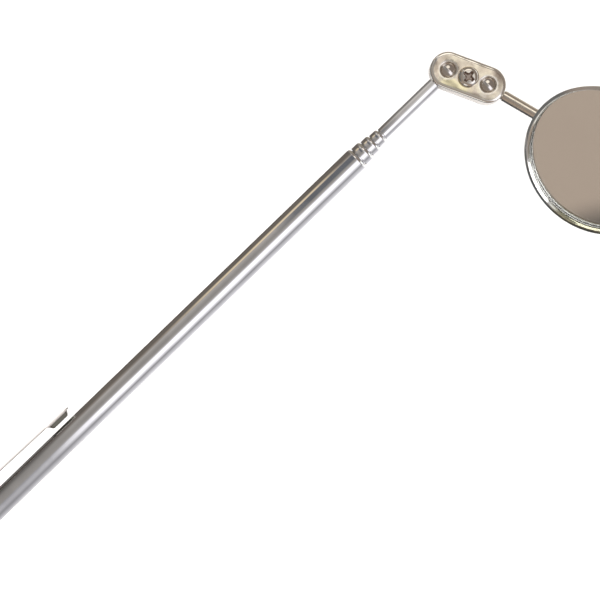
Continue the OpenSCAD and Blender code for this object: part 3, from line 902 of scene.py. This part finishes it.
def saddle():
    """A strap pressed over the stem, its two flanges lying on the back of the case."""
    t, half, flange, bend_r, mouth_r = 0.6, 6.0, 7.0, 0.4, 0.5
    top = STEM_R
    bend = arc(-STEM_R - t - bend_r, top - t - bend_r, bend_r, 90, 0, 5)
    outside = [(-flange, top), (-flange, top - t)] + bend
    outside += arc(0, 0, STEM_R + t, 180, 360, 22) + [(-x, z) for x, z in reversed(bend)]
    outside += [(flange, top - t), (flange, top)]
    mouth = arc(STEM_R + mouth_r, top - mouth_r, mouth_r, 90, 180, 5)[1:]
    inside = [(STEM_R + mouth_r, top)] + mouth + arc(0, 0, STEM_R, 360, 180, 22)
    inside += [(-x, z) for x, z in reversed(mouth)] + [(-STEM_R - mouth_r, top)]
    loop = outside + inside
    verts = [(MIRROR_X - half, y, z) for y, z in loop] + [(MIRROR_X + half, y, z) for y, z in loop]
    n = len(loop)
    faces = [(k, (k + 1) % n, n + (k + 1) % n, n + k) for k in range(n)]
    tess = geometry.tessellate_polygon([[Vector((y, z, 0)) for y, z in loop]])
    faces += [tuple(f) for f in tess] + [tuple(n + v for v in reversed(f)) for f in tess]
    return verts, faces


add("stem_strap", *saddle(), ON_HEAD, "mirror_head", "nickel_plate", ["stem_saddle"], 30.0,
    bevel=0.1)
RIVET_Y, RIVET_Z, RIVET_HEAD_R, RIVET_R = 4.7, 0.9, 1.55, 0.88
for k, y in enumerate((-RIVET_Y, RIVET_Y)):
    profile = arc(RIVET_Z, 0.0, RIVET_HEAD_R, 180, 90, 12, squash=0.48)
    profile += [(RIVET_Z, RIVET_R), (STEM_R + 0.4, RIVET_R)]
    turned(f"saddle_rivet_{k + 1}", profile, ON_HEAD, "mirror_head", "screw_nickel",
           ["saddle_rivets"] if k == 0 else (), closed=False, axis="Z", count=64,
           shift=(MIRROR_X, y, 0))

# ------------------------------------------------------------------ mirror head

CASE_R, CASE_H, CASE_T, BEAD_R = 25.4, 4.6, 0.45, 0.55
GLASS_T, SILVER_T, GLASS_DROP = 1.9, 0.1, 1.6
ON_CASE = ON_HEAD @ Matrix.Translation(Vector((MIRROR_X, 0, STEM_R)) * MM)
WALL_R = CASE_R - 2 * BEAD_R + 0.15
BACK_ROUND = 1.5
BEAD_Z = CASE_H - BEAD_R
CREST_R, CREST_ROUND, LIP_ROUND, LIP_SLOPE = 24.45, 0.2, 0.15, 15


def case_profile():
    """Half-section of the pressed case, as (height, radius): floor, wall, rolled bead, inside."""
    outside = [(0.0, 0.0), (0.0, 8.0), (0.06, 8.6), (0.06, 12.0), (0.0, 12.6)]
    outside += arc(BACK_ROUND, WALL_R - BACK_ROUND, BACK_ROUND, 180, 90, 14)
    bead = arc(BEAD_Z, CASE_R - BEAD_R, BEAD_R, 170, 90, 8)
    bead += arc(CASE_H - 0.37, CASE_R - LIP_ROUND, LIP_ROUND, 90, LIP_SLOPE, 8)
    bead += arc(CASE_H - CREST_ROUND, CREST_R, CREST_ROUND, LIP_SLOPE, -90, 12)
    neck_in = [(BEAD_Z - 0.15, WALL_R - CASE_T + 0.13), (BEAD_Z - 0.9, WALL_R - CASE_T + 0.05)]
    inside = [(BEAD_Z - 1.6, WALL_R - CASE_T)]
    inside += arc(BACK_ROUND, WALL_R - BACK_ROUND, BACK_ROUND - CASE_T, 90, 180, 8)
    return outside + [(BEAD_Z - BEAD_R - 0.05, WALL_R)] + bead + neck_in + inside + [(CASE_T, 0.0)]


turned("case_pressing", case_profile(), ON_CASE, "mirror_head", "case_chrome", ["mirror_case"],
       closed=False, axis="Z", sharp=40.0, count=HEAD_TURN)
PAD_T = CASE_H - GLASS_DROP - GLASS_T - SILVER_T - CASE_T
turned("fibre_pad", [(CASE_T, 0.0), (CASE_T, 21.9), (CASE_T + 0.1, 22.1), (CASE_T + PAD_T, 22.2),
                     (CASE_T + PAD_T, 0.0)],
       ON_CASE, "mirror_head", "pad_fibre", ["backing_pad"], closed=False, axis="Z")
SILVER_Z = CASE_T + PAD_T
turned("silver_coat", [(SILVER_Z, 0.0), (SILVER_Z, 23.6), (SILVER_Z + SILVER_T - 0.01, 23.7),
                       (SILVER_Z + SILVER_T - 0.01, 0.0)],
       ON_CASE, "mirror_head", "silvering", ["mirror_silvering"], closed=False, axis="Z",
       count=HEAD_TURN)
GLASS_R = CASE_R - 1.42
glass_low, glass_high = SILVER_Z + SILVER_T, SILVER_Z + SILVER_T + GLASS_T
turned(
    "glass_disc",
    [(glass_low, 0.0), (glass_low, GLASS_R - 0.15), (glass_low + 0.3, GLASS_R)]
    + arc(glass_high - 0.18, GLASS_R - 0.18, 0.18, 90, 0, 4)
    + [(glass_high, 0.0)],
    ON_CASE, "mirror_head", "clear_glass", ["mirror_glass"], closed=False, axis="Z",
    count=HEAD_TURN,
)

# ------------------------------------------------------------------ studio

FLOOR_Z, FLOOR_HALF = -0.1, 4
floor_mesh = bpy.data.meshes.new("floor")
floor_mesh.from_pydata([(x * FLOOR_HALF, y * FLOOR_HALF, FLOOR_Z)
                        for x, y in ((-1, -1), (1, -1), (1, 1), (-1, 1))], [], [(0, 1, 2, 3)])
floor = bpy.data.objects.new("floor", floor_mesh)
bpy.context.scene.collection.objects.link(floor)
paper, paper_tree, paper_shader = new_material("floor_paper")
grain = paper_tree.noise(30.0, 4.0)
paper_tree.put(paper_shader.inputs["Base Color"],
               paper_tree.mix(grain, rgb((0.90, 0.90, 0.90)), rgb((0.93, 0.93, 0.93))))
paper_shader.inputs["Roughness"].default_value = 1.0
paper_shader.inputs["Specular IOR Level"].default_value = 0.0
floor_mesh.materials.append(paper)
floor.visible_glossy = False


PLAIN, WARM, AMBER = (1.01, 0.99, 1.03), (1.06, 1.0, 0.94), (1.16, 1.0, 0.86)
# Brightness of the room at angles round the handle: 0 is overhead, +90 is towards +Y. One list
# for the butt end's side of the camera, one overhead and one for the mirror's side.
BUTT_BANDS = (
    (-180, 0.80, PLAIN), (-137, 0.74, PLAIN), (-116, 0.56, PLAIN), (-97, 0.45, PLAIN),
    (-81, 0.33, PLAIN), (-67, 0.41, PLAIN), (-53, 0.50, PLAIN), (-38, 0.50, PLAIN),
    (-29, 0.46, PLAIN), (-17, 0.37, PLAIN), (-6, 0.33, WARM), (17, 0.31, WARM),
    (41, 0.28, WARM), (53, 0.24, WARM), (67, 0.17, WARM), (81, 0.13, WARM),
    (97, 0.11, WARM), (137, 0.10, WARM), (180, 0.12, WARM),
)
OVERHEAD_BANDS = (
    (-180, 1.00, PLAIN), (-150, 0.95, PLAIN), (-137, 0.86, PLAIN), (-116, 0.66, PLAIN),
    (-97, 0.55, PLAIN), (-84, 0.35, PLAIN), (-76, 0.42, PLAIN), (-67, 0.70, PLAIN),
    (-54, 1.08, PLAIN), (-47, 1.40, PLAIN), (-23, 1.40, PLAIN), (-17, 0.90, PLAIN),
    (-8, 0.40, WARM), (6, 0.31, WARM), (17, 0.30, WARM), (36, 0.36, WARM), (52, 0.44, WARM),
    (61, 0.36, WARM), (67, 0.28, AMBER), (81, 0.17, AMBER),
    (95, 0.14, AMBER), (116, 0.145, AMBER), (137, 0.11, AMBER), (180, 0.12, WARM),
)
MIRROR_BANDS = (
    (-180, 0.95, PLAIN), (-137, 0.82, PLAIN), (-116, 0.65, PLAIN), (-97, 0.50, PLAIN),
    (-84, 0.42, PLAIN), (-67, 0.70, PLAIN), (-54, 1.06, PLAIN), (-47, 1.35, PLAIN),
    (-18, 1.35, PLAIN), (-6, 0.74, PLAIN), (6, 0.53, WARM), (41, 0.50, WARM),
    (53, 0.58, WARM), (67, 0.70, WARM), (81, 0.42, WARM), (97, 0.23, WARM),
    (116, 0.21, WARM), (137, 0.17, WARM), (180, 0.18, WARM),
)


def studio_world():
    """The room that the metal reflects. Near the plane square to the handle it is a long softbox
    between the dim sides of the room; towards both ends of the handle it falls to brown walls,
    with white paper below the mirror's side and a dark bench below the butt's side."""
    world = bpy.data.worlds.new("studio")
    bpy.context.scene.world = world
    world.use_nodes = True
    world.node_tree.nodes.clear()
    tree = Tree(world.node_tree)
    way = tree.vector("NORMALIZE", tree.where("Generated"))
    x, y, z = tree.split(way)
    around = tree.math("MULTIPLY_ADD", tree.math("ARCTAN2", y, z), 0.5 / math.pi, 0.5)

    def turn_share(degrees):
        return (degrees + 180) / 360

    def bands(rows):
        return tree.ramp(around, [(turn_share(a), tuple(level * t for t in tint))
                                  for a, level, tint in rows])

    def spot(way_to, edge, inner):
        """1 inside a round patch of the room and 0 outside it, from its half-angles."""
        length = Vector(way_to).normalized()
        return tree.step(tree.vector("DOT_PRODUCT", way, tuple(length)),
                         math.cos(math.radians(edge)), math.cos(math.radians(inner)))

    room = tree.mix(tree.step(x, -0.165, -0.112), bands(BUTT_BANDS), bands(OVERHEAD_BANDS))
    shade = tree.math("MULTIPLY", tree.step(x, 0.015, 0.035), tree.step(x, 0.115, 0.09))
    shade = tree.math("MULTIPLY", shade, tree.step(around, turn_share(6), turn_share(18)))
    shade = tree.math("MULTIPLY", shade, tree.step(around, turn_share(64), turn_share(55)))
    room = tree.mix(shade, room, rgb((0.15, 0.155, 0.17)))
    gleam = tree.math("MULTIPLY", tree.step(x, -0.075, -0.015), tree.step(x, 0.068, 0.05))
    gleam = tree.math("MULTIPLY", gleam, tree.step(around, turn_share(56), turn_share(66)))
    gleam = tree.math("MULTIPLY", gleam, tree.step(around, turn_share(88), turn_share(70)))
    room = tree.mix(gleam, room, rgb((0.86, 0.71, 0.49)))
    room = tree.mix(tree.step(x, 0.09, 0.115), room, bands(MIRROR_BANDS))
    over_plates = spot((0.19, 0.04, 0.98), 6.0, 2.5)
    room = tree.mix(over_plates, room, rgb((0.98, 0.95, 0.89)))

    wall = tree.mix(tree.step(z, 0.40, 0.62), rgb((0.455, 0.362, 0.30)), rgb((0.32, 0.275, 0.24)))
    wall = tree.mix(tree.step(z, -0.10, 0.05), rgb((0.095, 0.105, 0.115)), wall)
    doorway = tree.math("MULTIPLY", tree.step(y, 0.14, 0.27), tree.step(z, 0.56, 0.36))
    wall = tree.mix(doorway, wall, rgb((0.16, 0.16, 0.155)))
    wall = tree.mix(spot((-0.952, -0.128, 0.277), 6.3, 5.1), wall, rgb((0.105, 0.096, 0.09)))
    paper = tree.mix(tree.step(y, -0.08, 0.10), rgb((1.15, 1.15, 1.13)), rgb((0.60, 0.56, 0.50)))
    paper = tree.mix(tree.step(y, 0.25, 0.45), paper, rgb((0.34, 0.30, 0.23)))
    ahead = tree.mix(tree.step(z, -0.05, 0.08), paper, rgb((0.26, 0.22, 0.19)))
    side = tree.mix(tree.math("LESS_THAN", x, 0.0), ahead, wall)
    room = tree.mix(tree.step(tree.math("ABSOLUTE", x), 0.22, 0.30), room, side)
    room = tree.mix(spot((-0.45, 0.0, -0.89), 26.0, 20.0), room, rgb((0.11, 0.11, 0.115)))
    room = tree.mix(spot((-0.88, -0.43, 0.20), 18.0, 12.0), room, rgb((1.10, 1.08, 1.05)))
    room = tree.mix(spot((0.42, 0.39, 0.82), 17.0, 12.0), room, rgb((1.30, 1.22, 1.08)))

    seen = tree.node("ShaderNodeLightPath").outputs["Is Camera Ray"]
    shader = tree.node("ShaderNodeBackground")
    tree.put(shader.inputs["Color"], tree.mix(seen, room, rgb((0.95, 0.95, 0.95))))
    out = tree.node("ShaderNodeOutputWorld")
    tree.put(out.inputs["Surface"], shader.outputs[0])


studio_world()


def soft_light(name, place, aim, size, watts):
    """A round lamp that lights the matt surfaces and isn't seen in the metal."""
    lamp = bpy.data.lights.new(name, "AREA")
    lamp.shape = "DISK"
    lamp.size = size
    lamp.energy = watts
    holder = bpy.data.objects.new(name, lamp)
    bpy.context.scene.collection.objects.link(holder)
    holder.location = place
    holder.rotation_euler = (Vector(aim) - Vector(place)).to_track_quat("-Z", "Y").to_euler()
    holder.visible_glossy = False


middle = (cad_low + cad_high) / 2
soft_light("key", (middle.x + 0.4, middle.y - 0.9, 1.5), middle, 1.6, 26)
soft_light("fill", (middle.x - 0.7, middle.y + 0.8, 1.6), middle, 2.0, 24)

# ------------------------------------------------------------------ camera

CAMERA_HEIGHT = 0.6
PICTURE_SPAN = 0.19608  # how much of the plane of the plates the picture is wide
HANDLE_SLANT = 44.0
camera_data = bpy.data.cameras.new("camera")
camera_data.sensor_width = 36.0
camera_data.lens = 36.0 * CAMERA_HEIGHT / PICTURE_SPAN
camera = bpy.data.objects.new("camera", camera_data)
bpy.context.scene.collection.objects.link(camera)
camera.location = (0.1360, -0.0203, CAMERA_HEIGHT)
camera.rotation_euler = (0, 0, math.radians(-HANDLE_SLANT))
bpy.context.scene.camera = camera
bpy.context.scene.view_settings.view_transform = "Standard"
